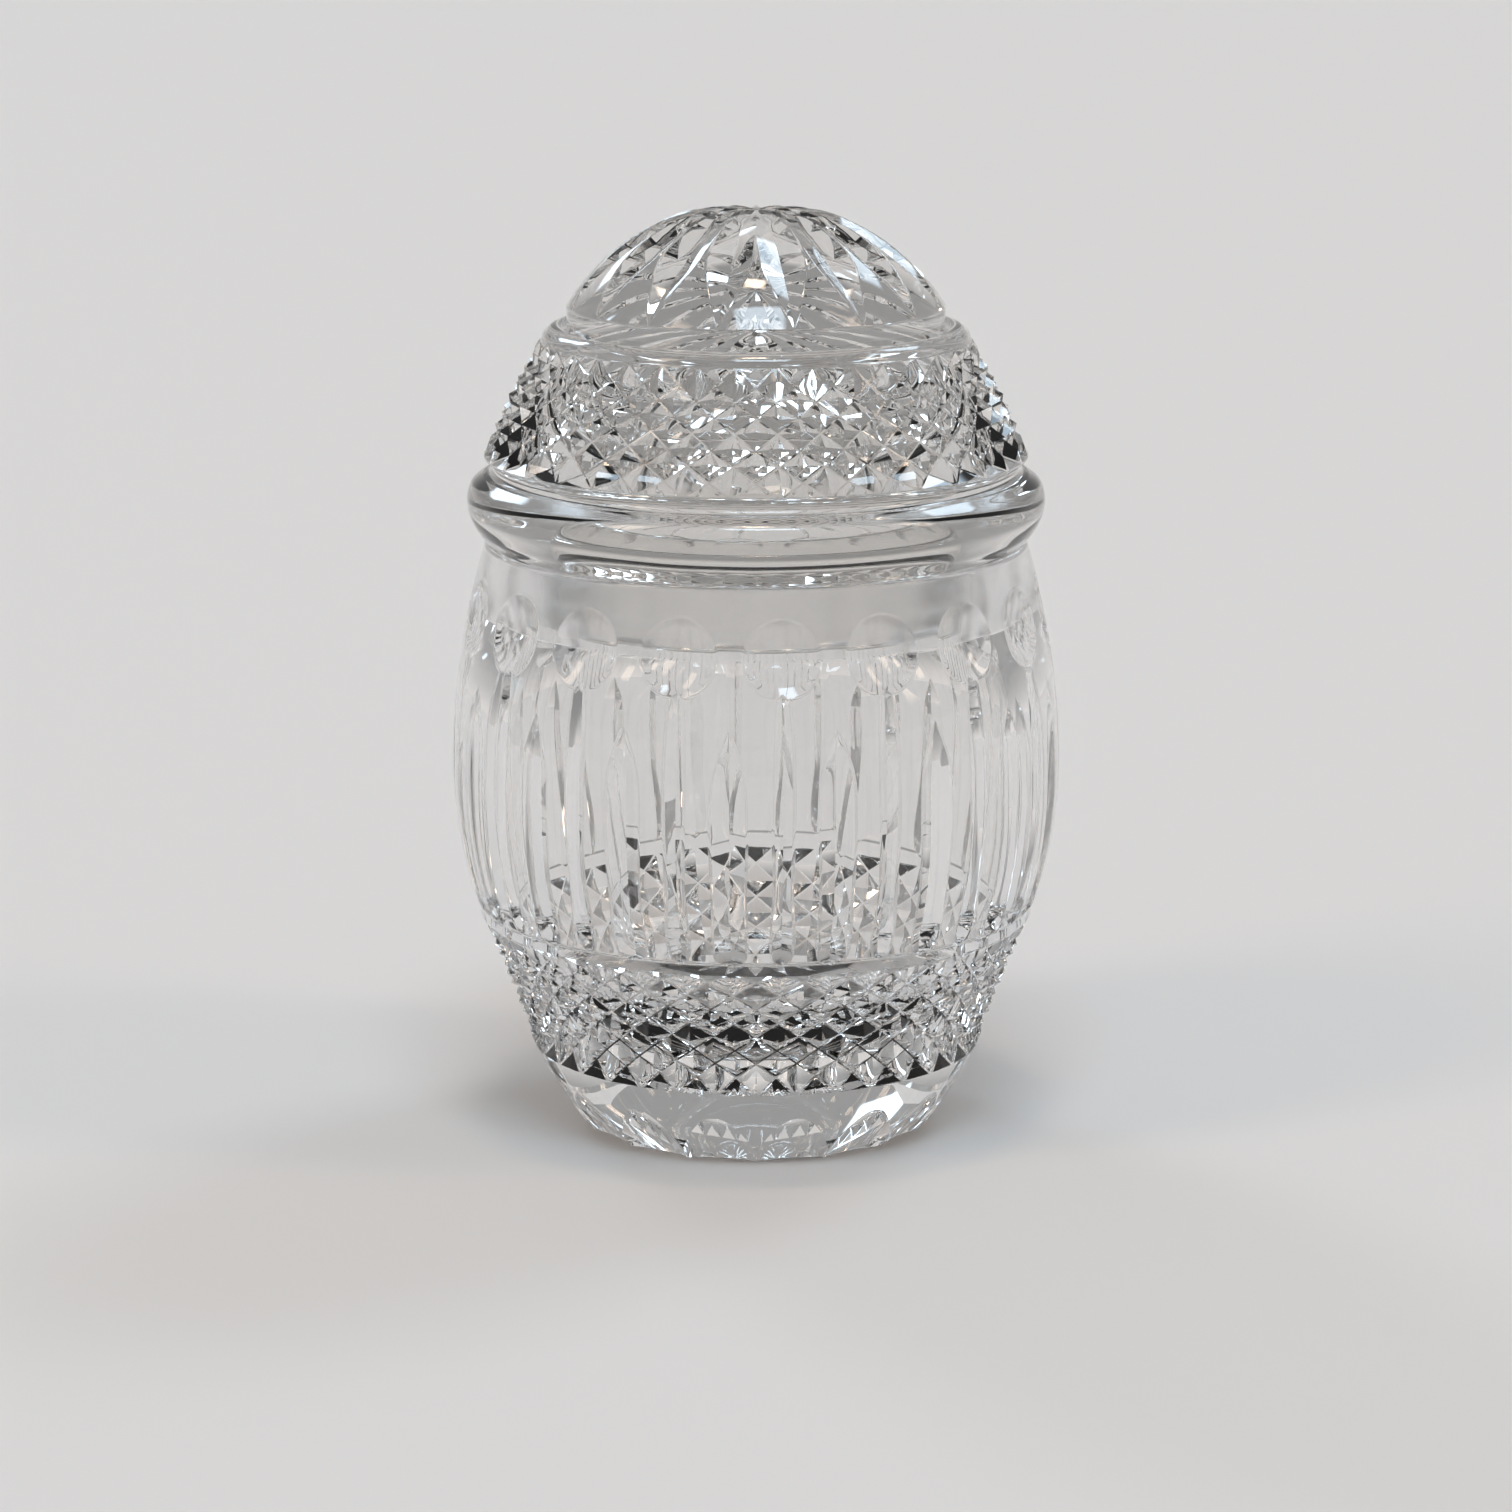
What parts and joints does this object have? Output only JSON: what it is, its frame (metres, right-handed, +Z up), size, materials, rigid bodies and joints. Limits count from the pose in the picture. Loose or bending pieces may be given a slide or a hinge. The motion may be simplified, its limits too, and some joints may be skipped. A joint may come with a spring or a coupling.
{
  "type": "powder jar",
  "caption": "Cut-glass powder jar: barrel body on a faceted foot, closed by a domed star-cut lid whose ground collar drops into the mouth.",
  "frame": {"origin": "centre of the foot's resting plane, at the bottom of the jar", "axes": "+Z up along the jar's axis of turning; the side seen in the picture faces -Y"},
  "size_m": [0.11, 0.11, 0.1666],
  "materials": {
    "jar_crystal": "polished",
    "lid_crystal": "polished"
  },
  "bodies": {
    "jar": {"jar_body": "jar_crystal"},
    "lid": {"lid": "lid_crystal"}
  },
  "joints": [
    {"name": "lid_lift", "type": "slide", "parent": "jar", "child": "lid", "axis": [0, 0, 1], "range_m": [0, 0.08]}
  ]
}
